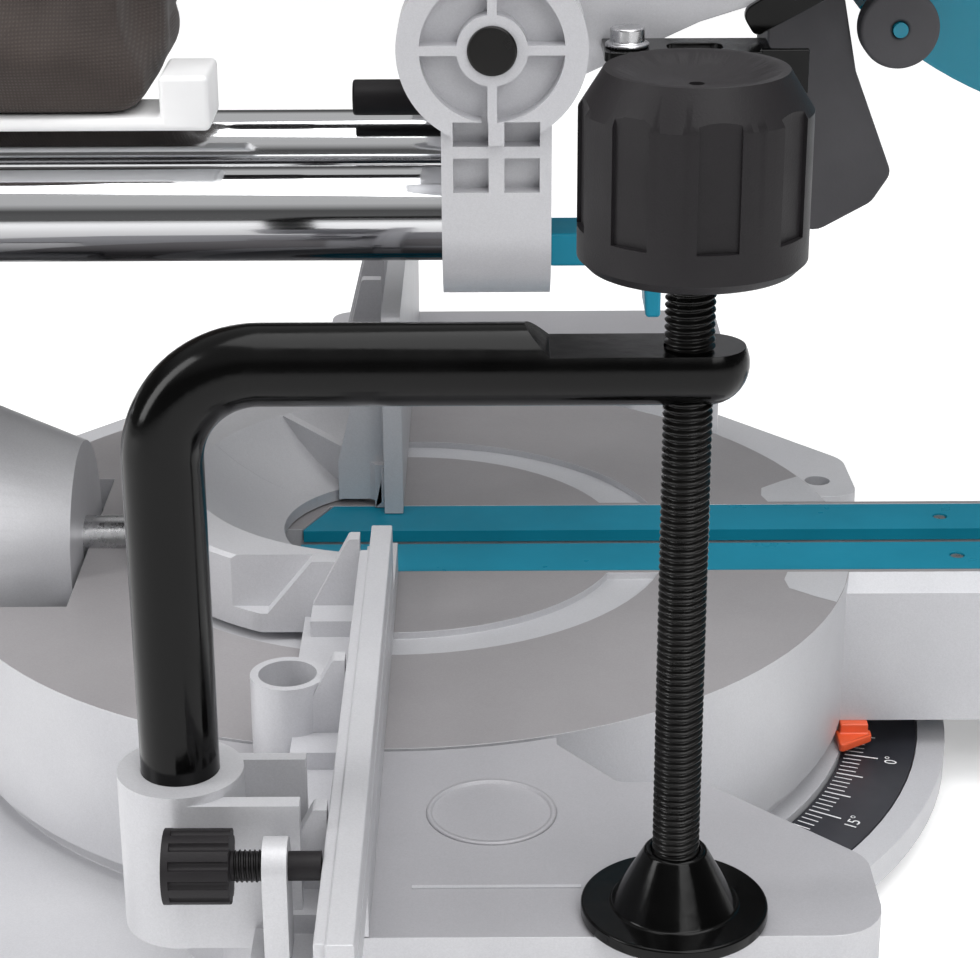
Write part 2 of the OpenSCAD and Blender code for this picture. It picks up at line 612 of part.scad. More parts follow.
// Sawing head
beam = [[-pivot_y + 12, drawn_h + 10, 0], [-pivot_y - 10, drawn_h + 19, 0], [-92, 206, 8], [-124, 262, 20],
    [-150, 250, 10], [-160, 220, 20],
    [-122, 174, 10], [-96, 163, 6], [-80, 158, 4], [-pivot_y - 14, drawn_h - 15, 0],
    [-pivot_y + 10, drawn_h - 15, 0]];
module head_arm() color("gainsboro") at_table() difference() {
    union() {
        x_cyl(20, -hub_half, hub_half, -pivot_y, pivot_h);
        on_head() side_slab(-arm_x, arm_x, beam);
        on_head() side_slab(case_out + gap, arm_x, [[-110, 190, 0], [-120, 258, 20], [-190, 296, 20],
            [-215, 288, 0],
            [-215, 196, 0], [-140, 180, 20]]);
    }
    x_cyl(case_r + gap, -case_out - gap, case_out + gap, arbor_y, arbor_h);
    x_cyl(52.3, case_out - 1, arm_x + 1, arbor_y, arbor_h);
    x_cyl(58.3, -arm_x - 1, -case_out, arbor_y, arbor_h);
    x_cyl(pivot_r + run, -hub_half - 1, hub_half + 1, -pivot_y, pivot_h);
}
module blade_housing() color("gainsboro") at_table() on_blade_axis(-25, 160)
    polygon([[50, -case_out], [case_r, -case_out], [case_r, case_out], [50, case_out], [50, case_in],
        [case_r - 2.5, case_in], [case_r - 2.5, -case_in], [50, -case_in]]);
module centre_cover() color("black") at_table() difference() {
    x_cyl(58, -case_out - 2.5, -case_out, arbor_y, arbor_h);
    x_cyl(9, -case_out - 3, -case_out + 1, arbor_y, arbor_h);
}
module gear_case() color("gainsboro") at_table() difference() {
    union() {
        x_cyl(52, case_out, gear_x, arbor_y, arbor_h);
        x_cyl(nose_r - 0.1, nose_x, case_out + 0.1, arbor_y, arbor_h);
    }
    x_cyl(spindle_r + 0.5, nose_x - 1, gear_x + 1, arbor_y, arbor_h);
    x_cyl(bearing_r, gear_x - 12, gear_x + 1, arbor_y, arbor_h);
}
module motor_housing() color("teal") at_table() difference() {
    union() {
        x_cyl(motor_r, gear_x, motor_end, arbor_y, arbor_h);
        x_cyl(motor_r + 6, gear_x, gear_x + 8, arbor_y, arbor_h);
    }
    x_cyl(motor_r - 4, gear_x - 1, motor_end + 1, arbor_y, arbor_h);
    for (a = [50, 130]) translate([0, arbor_y, arbor_h]) rotate([a, 0, 0])
        z_cyl(8, 0, motor_r + 10, motor_end - 24, 0);
}
module motor_end_cap() color("black") at_table() difference() {
    union() {
        x_cyl(motor_r, motor_end, motor_end + cap_l - 6, arbor_y, arbor_h);
        x_cyl(motor_r - 7, motor_end, motor_end + cap_l, arbor_y, arbor_h);
    }
    x_cyl(motor_r - 4, motor_end - 1, motor_end + 4, arbor_y, arbor_h);
    x_cyl(bearing_r, motor_end, motor_end + 13, arbor_y, arbor_h);
    for (a = [0:30:330]) translate([motor_end + cap_l - 8, arbor_y, arbor_h]) rotate([a, 0, 0])
        box([0, -2, 20], [20, 2, 33]);
}
module brush_caps() color("black") at_table() for (a = [50, 130])
    translate([0, arbor_y, arbor_h]) rotate([a, 0, 0])
        z_cyl(7.7, motor_r - 4, motor_r + 2, motor_end - 24, 0);
module handle() color("black") at_table() difference() {
    on_head() side_slab(-15, 15, [[-192, 350, 0], [-212, 390, 14], [-290, 398, 24], [-346, 378, 18],
        [-366, 344, 16],
        [-350, 314, 12], [-300, 296, 0], [-250, 330, 0]]);
    x_cyl(case_r + gap, -20, 20, arbor_y, arbor_h);
    on_head() side_slab(-16, 16, [[-248, 367, 6], [-300, 371, 8], [-338, 356, 8], [-346, 340, 6],
        [-332, 330, 6],
        [-304, 340, 8], [-268, 356, 6]]);
    on_head() box([-6.5, -312, 360], [6.5, -273, 386]);
}
module trigger() color("dimgray") at_table() on_head()
    side_slab(-6, 6, [[-311.5, 361, 4], [-273.5, 362, 4], [-273.5, 379, 1], [-311.5, 379, 1]]);
stop_x = arm_x + 10;
stop_z = 151.5;
stop_t = 2.4;
module stop_plate() color("black") at_table() on_head() {
    difference() {
        plate(stop_z, stop_z + stop_t, [[-arm_x - 18, -97, 2], [-arm_x, -97, 0], [-arm_x, -55, 0],
            [-arm_x - 18, -55, 2]]);
        plate(stop_z - 1, stop_z + 4, [[-stop_x - 4, -85, 3], [-stop_x + 4, -85, 3], [-stop_x + 4, -71, 3],
            [-stop_x - 4, -71, 3]]);
    }
    box([-arm_x - 18, -106, stop_z - 8], [-arm_x - 18 + stop_t, -94, stop_z + 3]);
}
module stop_screw() color("silver") at_table() on_head() {
    z_cyl(5.6, stop_z + stop_t, stop_z + stop_t + 1.2, -stop_x, -61);
    z_cyl(4.4, stop_z + stop_t + 1.1, stop_z + stop_t + 5, -stop_x, -61);
}
module guard_strap() color("black") at_table() on_head() side_slab(-arm_x - 2.8, -arm_x,
    [[-94, 154.5, 2], [-90, 161, 3], [-124, 182, 3], [-130, 174, 3]]);
module dust_flap() color("dimgray") at_table() difference() {
    on_head() side_slab(-13, 13, [[-100, 166, 0], [-100, 118, 4], [-112, 94, 6], [-130, 104, 6],
        [-135, 112, 4],
        [-124, 140, 0], [-120, 160, 0], [-118, 172, 0]]);
    on_head() side_slab(-9, 9, [[-106, 180, 0], [-106, 118, 4], [-114, 80, 0], [-150, 80, 0],
        [-150, 180, 0]]);
    on_head() side_slab(-20, 20, beam);
    x_cyl(guard_r + 1.2, -20, 20, arbor_y, arbor_h);
}
module dust_tube() color("black") at_table() difference() {
    union() {
        y_cyl(tube_r, -96, tube_rear, tube_x, tube_h);
        y_cyl(tube_r + 3, -70, -62, tube_x, tube_h);
    }
    y_cyl(tube_r - tube_wall, -100, tube_rear + 1, tube_x, tube_h);
    x_cyl(case_r + gap, -case_out - gap, case_out + gap, arbor_y, arbor_h);
    on_head() side_slab(case_out, arm_x + 5, [[-92, 180, 0], [-92, 280, 0], [-220, 320, 0],
        [-220, 180, 0]]);
}
module bag_collar() color("black") at_table() difference() {
    y_cyl(tube_r + 4, bag_front - 26, bag_front, tube_x, tube_h);
    y_cyl(tube_r, bag_front - 27, bag_front + 1, tube_x, tube_h);
}
module dust_bag() color("dimgray") at_table() side_slab(bag_left, bag_right,
    [[bag_front, bag_low, 6], [bag_front, bag_high - 4, 20], [bag_rear - 40, bag_high, 40],
    [bag_rear, bag_high - 70, 30], [bag_rear - 16, bag_low, 10]]);
module bag_clip() color("white") at_table() {
    box([bag_left, bag_front - 13, bag_low - 3.5], [bag_left + 24, bag_rear - 20, bag_low]);
    box([bag_left, bag_front - 13, bag_low - 0.1], [bag_left + 24, bag_front, bag_low + 11]);
}

// Blade and its drive
module saw_blade() color("silver") at_table() difference() {
    x_cyl(blade_r, -blade_t / 2, blade_t / 2, arbor_y, arbor_h);
    x_cyl(spindle_r, -5, 5, arbor_y, arbor_h);
}
module blade_flanges() color("dimgray") at_table() difference() {
    union() {
        x_cyl(20, -blade_t / 2 - flange_t, -blade_t / 2, arbor_y, arbor_h);
        x_cyl(20, blade_t / 2, blade_t / 2 + flange_t, arbor_y, arbor_h);
    }
    x_cyl(spindle_r, -10, 10, arbor_y, arbor_h);
}
module arbor_bolt() color("dimgray") at_table()
    x_cyl(7, -blade_t / 2 - flange_t - 5, -blade_t / 2 - flange_t, arbor_y, arbor_h);
module spindle() color("silver") at_table()
    x_cyl(spindle_r, -blade_t / 2 - flange_t, motor_end + 12, arbor_y, arbor_h);
module armature() color("peru") at_table() difference() {
    x_cyl(motor_r - 14, gear_x + 26, motor_end - 36, arbor_y, arbor_h);
    x_cyl(spindle_r, gear_x, motor_end, arbor_y, arbor_h);
}
module spindle_bearings() color("silver") at_table() for (x = [gear_x - 12, motor_end + 1]) difference() {
    x_cyl(bearing_r, x, x + 11, arbor_y, arbor_h);
    x_cyl(spindle_r + run, x - 1, x + 12, arbor_y, arbor_h);
}

// Lower guard
module lower_guard() color("cadetblue") at_table() {
    roller = round_blade(roller_r, roller_a);
    difference() {
        x_cyl(guard_r, -guard_out, guard_out, arbor_y, arbor_h);
        x_cyl(guard_r - 2, -guard_in, guard_in, arbor_y, arbor_h);
        x_cyl(nose_r, -guard_out - 1, guard_out + 1, arbor_y, arbor_h);
        // The open side of the guard, at the rear and above
        difference() {
            side_slab(-guard_out - 1, guard_out + 1, [[arbor_y, arbor_h, 0],
                for (a = [-46:44:130]) [round_blade(2 * guard_r, a).x, round_blade(2 * guard_r, a).y, 0]]);
            x_cyl(nose_r + 6, -guard_out - 2, guard_out + 2, arbor_y, arbor_h);
        }
    }
    x_cyl(4, -guard_out - 1, -guard_out + 1, roller.x, roller.y);
    x_cyl(2, -guard_out - 10, -guard_out - 0.5, roller.x, roller.y);
}
module guard_roller() color("black") at_table() {
    roller = round_blade(roller_r, roller_a);
    difference() {
        x_cyl(10.5, -guard_out - 9, -guard_out - 1.3, roller.x, roller.y);
        x_cyl(2 + run, -guard_out - 10, -guard_out, roller.x, roller.y);
    }
}

base_casting();
rubber_feet();
mitre_scale();
turntable_pivot();
left_fence();
right_fence();
fence_bolts();
sliding_fence();
fence_thumbscrew();
clamp_bar();
clamp_screw();
clamp_knob();
clamp_pad();
turntable();
left_kerf_board();
right_kerf_board();
board_screws();
mitre_pointer();
bevel_shaft();
mitre_lock_rod();
mitre_lock_grip();
detent_lever();
detent_pin();
bevel_arm();
slide_bushes();
bevel_pointer();
bevel_lock_lever();
slide_lock_knob();
left_rod();
right_rod();
carriage();
rod_cover();
rod_end_plate();
pivot_pin();
head_lock_pin();
head_arm();
blade_housing();
centre_cover();
gear_case();
motor_housing();
motor_end_cap();
brush_caps();
handle();
trigger();
stop_plate();
stop_screw();
guard_strap();
dust_flap();
dust_tube();
bag_collar();
dust_bag();
bag_clip();
saw_blade();
blade_flanges();
arbor_bolt();
spindle();
armature();
spindle_bearings();
lower_guard();
guard_roller();
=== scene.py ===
"""Sliding compound mitre saw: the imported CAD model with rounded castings, threads, scale and cloth bag."""

import json
import math

import bmesh
import bpy
from mathutils import Matrix, Vector


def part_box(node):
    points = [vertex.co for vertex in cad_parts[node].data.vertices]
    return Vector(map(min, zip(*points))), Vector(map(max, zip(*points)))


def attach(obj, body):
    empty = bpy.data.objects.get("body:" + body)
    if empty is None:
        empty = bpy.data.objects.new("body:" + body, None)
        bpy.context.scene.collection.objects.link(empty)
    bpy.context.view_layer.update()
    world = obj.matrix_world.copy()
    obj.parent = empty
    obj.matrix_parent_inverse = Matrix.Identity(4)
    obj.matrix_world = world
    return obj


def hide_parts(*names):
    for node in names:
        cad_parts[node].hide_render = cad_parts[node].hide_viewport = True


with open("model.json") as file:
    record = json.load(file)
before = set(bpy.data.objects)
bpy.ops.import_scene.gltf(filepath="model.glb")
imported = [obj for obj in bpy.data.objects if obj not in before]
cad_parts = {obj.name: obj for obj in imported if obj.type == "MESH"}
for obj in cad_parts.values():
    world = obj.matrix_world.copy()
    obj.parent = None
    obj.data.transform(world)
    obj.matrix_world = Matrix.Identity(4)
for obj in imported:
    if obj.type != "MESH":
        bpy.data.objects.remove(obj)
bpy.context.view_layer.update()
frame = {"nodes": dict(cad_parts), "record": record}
nodes = frame["nodes"]
body_of = {n: b for b, members in frame["record"]["behaviour"]["bodies"].items() for n in members}
MM = 0.001
TABLE = 66  # height of the table top above the bench, mm
LEVEL = 0.9  # least Z of the normal of a level face
NOISE_LOW, NOISE_HIGH = 0.3, 0.7  # most of a noise lies between these


# Materials
def rgb(text):
    """Linear colour from an sRGB hex code."""
    parts = [int(text[i:i + 2], 16) / 255 for i in (0, 2, 4)]
    return tuple(c / 12.92 if c <= 0.04045 else ((c + 0.055) / 1.055) ** 2.4 for c in parts) + (1,)


def fill(tree, node, values):
    """Sets a node's inputs; a value that is a socket is linked."""
    for key, value in values.items():
        if isinstance(value, bpy.types.NodeSocket):
            tree.links.new(value, node.inputs[key])
        else:
            node.inputs[key].default_value = value


def add(tree, kind, out, values=None, stops=(), **props):
    """Adds a shader node with its settings, a ramp's stops and its inputs; returns one of its outputs."""
    node = tree.nodes.new(kind)
    for key, value in props.items():
        setattr(node, key, value)
    if stops:
        elements = node.color_ramp.elements
        while len(elements) < len(stops):
            elements.new(0.5)
        for element, (place, colour) in zip(elements, stops):
            element.position = place
            element.color = colour
    fill(tree, node, values or {})
    return node.outputs[out]


def started(name, sockets):
    """A new material, its node tree, its shader and the object coordinates for its patterns."""
    mat = bpy.data.materials.new(name)
    mat.use_nodes = True
    tree = mat.node_tree
    shader = tree.nodes["Principled BSDF"]
    fill(tree, shader, {key.replace("_", " "): value for key, value in sockets.items()})
    return mat, tree, shader, add(tree, "ShaderNodeTexCoord", "Object")


def finish(name, colours, rough, relief, flake_mm=None, **sockets):
    """A material with soft patches of two colours, an uneven roughness and a fine relief.

    colours and rough: a low value, a high value, the pattern's size in mm and its noise detail;
    relief: a depth and the pattern's size in mm, and its noise detail.
    """
    mat, tree, shader, where = started(name, sockets)
    patch, wear, skin = [
        add(tree, "ShaderNodeTexNoise", "Fac", {"Vector": where, "Scale": 1 / (size * MM), "Detail": detail})
        for *_, size, detail in (colours, rough, relief)]
    colour = add(tree, "ShaderNodeValToRGB", "Color", {0: patch},
                 [(NOISE_LOW, rgb(colours[0])), (NOISE_HIGH, rgb(colours[1]))])
    if flake_mm:
        flake = add(tree, "ShaderNodeTexVoronoi", "Color", {"Vector": where, "Scale": 1 / (flake_mm * MM)})
        spark = add(tree, "ShaderNodeValToRGB", "Color", {0: flake},
                    [(0.0, (0.95, 0.95, 0.95, 1)), (1.0, (1.05, 1.05, 1.05, 1))])
        colour = add(tree, "ShaderNodeMix", 2, {0: 1.0, 6: colour, 7: spark},
                     data_type="RGBA", blend_type="MULTIPLY")
    uneven = add(tree, "ShaderNodeMapRange", "Result", {
        "Value": wear, "From Min": NOISE_LOW, "From Max": NOISE_HIGH, "To Min": rough[0], "To Max": rough[1]})
    normal = add(tree, "ShaderNodeBump", "Normal", {
        "Height": skin, "Distance": relief[0] * MM, "Strength": 1.0})
    fill(tree, shader, {"Base Color": colour, "Roughness": uneven, "Normal": normal})
    return mat


def plain(name, low, high, rough, grain_mm, depth_mm, patch_mm=30.0, **sockets):
    """A finish whose roughness drifts by 0.05 in patches a third as wide as its colours."""
    return finish(name, (low, high, patch_mm, 3.0), (rough - 0.05, rough + 0.05, patch_mm / 3, 3.0),
                  (depth_mm, grain_mm, 3.0), **sockets)


def silver(name, low, high, metal):
    """Silver paint; its flakes, 0.3 mm, are coarser than real ones, which are too fine to show."""
    return finish(name, (low, high, 45, 3.0), (0.38, 0.46, 12, 3.0), (0.03, 0.7, 5.0), 0.3,
                  Metallic=metal, Specular_IOR_Level=0.5)


# Silver paint sprayed on cast aluminium: a pale, soft sheen with a faint sparkle and the casting's skin
silver_paint = silver("silver_painted_casting", "C2C2C6", "C9C9CC", 0.2)
# Lacquer over a ground casting: flatter and greyer, on the table most of all
table_paint = silver("ground_table_lacquer", "989597", "9F9C9E", 0.15)
wing_paint = silver("wing_top_lacquer", "A9A8AC", "B0AFB3", 0.15)
# Moulded plastics: an even colour and a satin light, broken by their moulds' spark texture. It is drawn
# 0.45 to 0.8 mm wide, coarser than a real one, so that it shows
teal_plastic = plain("teal_moulded_plastic", "14809A", "188AA6", 0.32, 0.5, 0.02, Specular_IOR_Level=0.2)
black_plastic = plain("black_moulded_plastic", "1E1C1E", "242224", 0.5, 0.45, 0.05, Specular_IOR_Level=0.22)
white_plastic = plain("white_moulded_plastic", "E9E9EA", "F4F4F4", 0.4, 0.8, 0.02)
orange_plastic = plain("orange_moulded_plastic", "E8562E", "F06A3E", 0.35, 0.6, 0.01)
# Sprayed gloss enamel: nearly black, with sharp reflections that waver
black_enamel = plain("black_enamel", "040404", "070707", 0.16, 4.0, 0.03, Specular_IOR_Level=0.18)
# Oiled black oxide on turned steel: dark, with a dull metal shine
black_oxide = plain("black_oxide_steel", "0F0E0E", "181716", 0.3, 0.6, 0.02,
                    Metallic=0.3, Specular_IOR_Level=0.4)
# Moulded rubber: matt dark grey
rubber = plain("grey_rubber", "3A393C", "444346", 0.7, 0.9, 0.05)
# Bright zinc plate: a clear shine that clouds in patches of 6 mm
zinc = plain("zinc_plated_steel", "B4B4B6", "C6C6C8", 0.28, 1.2, 0.02, patch_mm=6, Metallic=1.0)
# Pressed and sintered bronze: brown gold, soft and grainy
bronze = plain("sintered_bronze", "8C6A3A", "A07C48", 0.45, 0.5, 0.03, Metallic=1.0)
# Wound and varnished copper wire: dark brown with a warm shine
winding = plain("varnished_copper_winding", "6B3A1C", "8A4E26", 0.4, 0.9, 0.15, Metallic=0.8)
# Screen print on aluminium: satin black, and flat white ink
scale_black = plain("printed_black_scale", "24252B", "2C2D34", 0.42, 0.8, 0.01)
scale_white = plain("printed_white_ink", "E4E4E6", "F2F2F2", 0.5, 0.5, 0.01)
# Ground blade steel: a grey shine that clouds in patches of about 17 mm
BLADE_PATCH = 1000 / 60
blade_metal = finish("ground_blade_steel", ("A9AAAC", "C3C4C6", BLADE_PATCH, 6.0),
                     (0.24, 0.36, BLADE_PATCH, 6.0), (0.01, 0.4, 2.0), Metallic=1.0)
# Moulded clear plastic with a tint: glossy, deep teal, lightly scuffed
guard_plastic = finish("tinted_clear_plastic", ("16849C", "1C8EA8", 40, 3.0), (0.08, 0.2, 3, 6.0),
                       (0.02, 6, 3.0), Transmission_Weight=0.25, IOR=1.49, Specular_IOR_Level=0.25)


def chrome_rod():
    """Hard chrome, ground along the rod, with painted shade: its colour is mirror bright on top and darkens
    towards the underside.

    The grinding lines are drawn 0.6 mm apart, coarser than real ones, so that they show.
    """
    mat, tree, shader, where = started("hard_chrome", {"Metallic": 1.0})
    facing = add(tree, "ShaderNodeNewGeometry", "Normal")
    height = add(tree, "ShaderNodeSeparateXYZ", "Z", {0: facing})
    share = add(tree, "ShaderNodeMapRange", "Result", {"Value": height, "From Min": -1.0, "From Max": 1.0})
    # Painted shade: the rod's colour runs from mirror bright on its top to dark grey underneath, following
    # the way each face points
    painted_shade = add(tree, "ShaderNodeValToRGB", "Color", {0: share},
               [(0.2, rgb("3C3C3E")), (0.45, rgb("A8A8AA")), (0.62, rgb("E6E7E9"))])
    along = add(tree, "ShaderNodeMapping", "Vector", {"Vector": where, "Scale": (1.0, 0.01, 1.0)})
    lines = add(tree, "ShaderNodeTexNoise", "Fac", {"Vector": along, "Scale": 1 / (0.6 * MM), "Detail": 2.0})
    uneven = add(tree, "ShaderNodeMapRange", "Result", {
        "Value": lines, "From Min": NOISE_LOW, "From Max": NOISE_HIGH, "To Min": 0.05, "To Max": 0.1})
    normal = add(tree, "ShaderNodeBump", "Normal", {"Height": lines, "Distance": 0.002 * MM, "Strength": 1.0})
    fill(tree, shader, {"Base Color": painted_shade, "Roughness": uneven, "Normal": normal})
    return mat


def bag_cloth():
    """Plain-woven cloth, dark brown-grey: matt, with fine threads, 0.9 mm a pair, and soft worn patches."""
    mat, tree, shader, where = started(
        "woven_bag_cloth", {"Roughness": 0.85, "Sheen_Weight": 0.1, "Sheen_Roughness": 0.5})
    thread_scale = math.tau / (20 * 0.9 * MM)  # a wave of scale s repeats after tau / 20 s
    warp, weft = [
        add(tree, "ShaderNodeTexWave", "Fac", {"Vector": where, "Scale": thread_scale, "Distortion": 0.6},
            bands_direction=direction) for direction in "YZ"]
    weave = add(tree, "ShaderNodeMath", 0, {0: warp, 1: weft}, operation="MULTIPLY")
    worn = add(tree, "ShaderNodeTexNoise", "Fac", {"Vector": where, "Scale": 1 / (25 * MM), "Detail": 3.0})
    patch = add(tree, "ShaderNodeValToRGB", "Color", {0: worn},
                [(NOISE_LOW, rgb("362E2B")), (NOISE_HIGH, rgb("423935"))])
    thread = add(tree, "ShaderNodeValToRGB", "Color", {0: weave},
                 [(0.0, (0.8, 0.8, 0.8, 1)), (1.0, (1.15, 1.15, 1.15, 1))])
    colour = add(tree, "ShaderNodeMix", 2, {0: 1.0, 6: patch, 7: thread},
                 data_type="RGBA", blend_type="MULTIPLY")
    normal = add(tree, "ShaderNodeBump", "Normal", {"Height": weave, "Distance": 0.15 * MM, "Strength": 1.0})
    fill(tree, shader, {"Base Color": colour, "Normal": normal})
    return mat


chrome = chrome_rod()
bag_fabric = bag_cloth()

# Material of each CAD node, and the radius of its edges in mm
FINISH = {
    silver_paint: {"base_casting": 1.4, "left_fence": 1.0, "right_fence": 1.0, "sliding_fence": 0.7,
                   "turntable": 1.2, "bevel_arm": 1.6, "carriage": 0.9, "head_arm": 2.0, "blade_housing": 1.2,
                   "gear_case": 1.5},
    zinc: {"turntable_pivot": 0.4, "fence_bolts": 0.5, "board_screws": 0.3, "bevel_shaft": 0.6,
           "mitre_lock_rod": 0.5, "detent_pin": 0.4, "stop_screw": 0.8, "spindle": 0.5,
           "spindle_bearings": 0.4},
    chrome: {"left_rod": 0.8, "right_rod": 0.8},
    black_enamel: {"clamp_bar": 0.8, "stop_plate": 0.4, "guard_strap": 0.4, "clamp_pad": 0.6,
                   "rod_end_plate": 1.2},
    black_oxide: {"blade_flanges": 0.4, "arbor_bolt": 0.5, "pivot_pin": 0.6},
    black_plastic: {"clamp_knob": 0.9, "mitre_lock_grip": 1.5, "detent_lever": 1.0, "bevel_lock_lever": 1.2,
                    "slide_lock_knob": 0.8, "head_lock_pin": 0.8, "centre_cover": 0.8, "motor_end_cap": 1.2,
                    "brush_caps": 0.6, "handle": 6.0, "trigger": 1.2, "dust_tube": 0.6, "bag_collar": 0.8,
                    "fence_thumbscrew": 0.4},
    teal_plastic: {"left_kerf_board": 0.4, "right_kerf_board": 0.4, "rod_cover": 1.0, "motor_housing": 1.2},
    guard_plastic: {"lower_guard": 0.6},
    scale_black: {"mitre_scale": 0.3},
    orange_plastic: {"mitre_pointer": 0.5, "bevel_pointer": 0.5},
    rubber: {"rubber_feet": 1.5, "dust_flap": 0.8, "guard_roller": 1.0},
    bronze: {"slide_bushes": 0.4},
    winding: {"armature": 1.5},
    white_plastic: {"bag_clip": 1.5},
}


# Geometry helpers
def placed(name, data):
    """A new object in the scene."""
    obj = bpy.data.objects.new(name, data)
    bpy.context.scene.collection.objects.link(obj)
    return obj


def meshed(name, bm):
    """A new mesh from a bmesh, which is freed."""
    mesh = bpy.data.meshes.new(name)
    bm.to_mesh(mesh)
    bm.free()
    return mesh


def own_mesh(name, bm, mat, body, replaced=None):
    """A new piece from a bmesh, riding on a body."""
    mesh = meshed(name, bm)
    mesh.materials.append(mat)
    obj = placed(name, mesh)
    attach(obj, body)
    if replaced:
        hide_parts(replaced)
    return obj


def baked(obj):
    """The object's modifiers applied to its mesh."""
    graph = bpy.context.evaluated_depsgraph_get()
    mesh = bpy.data.meshes.new_from_object(obj.evaluated_get(graph))
    obj.modifiers.clear()
    old, obj.data = obj.data, mesh
    bpy.data.meshes.remove(old)


SAME_POINT = 0.002 * MM
FLAT_ANGLE = math.radians(0.4)
UNDERSIDE_CUTS = (-167, 0, 167)  # X through the holes of the base's underside, mm


def clean_copy(node):
    """A CAD node's mesh with its split points joined and its flat faces whole."""
    bm = bmesh.new()
    bm.from_mesh(nodes[node].data)
    bmesh.ops.remove_doubles(bm, verts=bm.verts, dist=SAME_POINT)
    bmesh.ops.dissolve_degenerate(bm, edges=bm.edges, dist=SAME_POINT)
    bm.normal_update()

    def strip(face):
        """Undersides stay in strips, so that no flat face runs round a hole."""
        x = face.calc_center_median().x / MM
        return sum(x > place for place in UNDERSIDE_CUTS) if face.normal.z < -LEVEL else 0

    flat = [e for e in bm.edges if len({strip(f) for f in e.link_faces}) == 1]
    bmesh.ops.dissolve_limit(bm, angle_limit=FLAT_ANGLE, verts=bm.verts, edges=flat)
    return bm


EDGE_ANGLE = math.radians(32)  # a sharper edge is rounded
EDGE_STEPS = 3


def softened(node, mat, radius_mm):
    """A copy of a CAD node with rounded edges, which replaces it."""
    bm = clean_copy(node)
    for face in bm.faces:
        face.smooth = True
        face.material_index = 0
    obj = own_mesh(node + "_shape", bm, mat, body_of[node], node)
    bevel = obj.modifiers.new("edges", "BEVEL")
    bevel.width = radius_mm * MM
    bevel.segments = EDGE_STEPS
    bevel.limit_method = "ANGLE"
    bevel.angle_limit = EDGE_ANGLE
    bevel.use_clamp_overlap = True
    obj.modifiers.new("normals", "WEIGHTED_NORMAL").keep_sharp = True
    baked(obj)
    return obj


shapes = {}
for mat, members in FINISH.items():
    for node, radius in members.items():
        shapes[node] = softened(node, mat, radius)


def paint_top(node, mat):
    """Gives a node's faces at table height the lacquer; the rest keeps the silver paint."""
    mesh = shapes[node].data
    mesh.materials.append(mat)
    for face in mesh.polygons:
        if face.normal.z > LEVEL and abs(face.center.z - TABLE * MM) < 0.3 * MM:
            face.material_index = len(mesh.materials) - 1


paint_top("turntable", table_paint)
paint_top("base_casting", wing_paint)


def tube(bm, rings, closed_ends=True):
    """Joins rings of points with faces."""
    loops = [[bm.verts.new(point) for point in ring] for ring in rings]
    for low, high in zip(loops, loops[1:]):
        for i in range(len(low)):
            j = (i + 1) % len(low)
            bm.faces.new((low[i], low[j], high[j], high[i])).smooth = True
    if closed_ends:
        bm.faces.new(list(reversed(loops[0])))
        bm.faces.new(loops[-1])


def threaded(name, radius, pitch, depth, low, high, place, mat, body, replaced=None):
    """A screw thread along its own Z from low to high, set in place by a matrix; sizes in mm."""
    around, rows_a_turn = 36, 8
    root, flank = 0.15, 0.7  # shares of half a pitch
    run_out = 0.8 * pitch  # the thread fades over this length at each end
    rows = int((high - low) / pitch * rows_a_turn)
    rings = []
    for j in range(rows + 1):
        z = low + (high - low) * j / rows
        end = min(1, (z - low) / run_out, (high - z) / run_out)
        ring = []
        for i in range(around):
            a = math.tau * i / around
            phase = abs(2 * ((z / pitch - i / around) % 1) - 1)
            crest = min(1, max(0, (phase - root) / flank)) * end
            r = radius - depth * (1 - crest)
            ring.append(place @ Vector((r * math.cos(a), r * math.sin(a), z)) * MM)
        rings.append(ring)
    bm = bmesh.new()
    tube(bm, rings)
    return own_mesh(name, bm, mat, body, replaced)


# Clamp screw, M10 x 1.5
clamp_low, clamp_high = (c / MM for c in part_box("clamp_screw"))
clamp_axis = Matrix.Translation(((clamp_low.x + clamp_high.x) / 2, (clamp_low.y + clamp_high.y) / 2, 0))
clamp_screw = threaded("clamp_screw_thread", 5.0, 1.5, 0.85, clamp_low.z, clamp_high.z, clamp_axis,
                       black_oxide, "clamp_screw", "clamp_screw")

# Fence thumbscrew, M6 x 1, where it shows between its boss and its grip
screw_low, screw_high = (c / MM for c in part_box("fence_thumbscrew"))
screw_middle = (screw_low.x + screw_high.x) / 2, 0, (screw_low.z + screw_high.z) / 2
screw_axis = Matrix.Translation(screw_middle) @ Matrix.Rotation(math.radians(-90), 4, "X")
BOSS_END, GRIP_END = 20.4, 13.6  # from the grip's outer face, mm
threaded("thumbscrew_thread", 3.35, 1.0, 0.5, screw_high.y - BOSS_END, screw_high.y - GRIP_END, screw_axis,
         black_oxide, body_of["fence_thumbscrew"])


def revolved(name, profile, place, mat, body, around):
    """Makes a piece turned about its own Z from (radius, height) points, set in place by a matrix; in mm."""
    turns = [math.tau * i / around for i in range(around)]
    rings = [[place @ Vector((r * math.cos(a), r * math.sin(a), z)) * MM for a in turns] for r, z in profile]
    bm = bmesh.new()
    tube(bm, rings)
    bmesh.ops.recalc_face_normals(bm, faces=bm.faces)
    own_mesh(name, bm, mat, body)


def boxes(places):
    """A bmesh of boxes, each a matrix and a size in mm."""
    bm = bmesh.new()
    for place, size in places:
        scale = Matrix.Diagonal(Vector((*size, 1)))
        bmesh.ops.create_cube(bm, size=1.0, matrix=Matrix.Scale(MM, 4) @ place @ scale)
    return bm


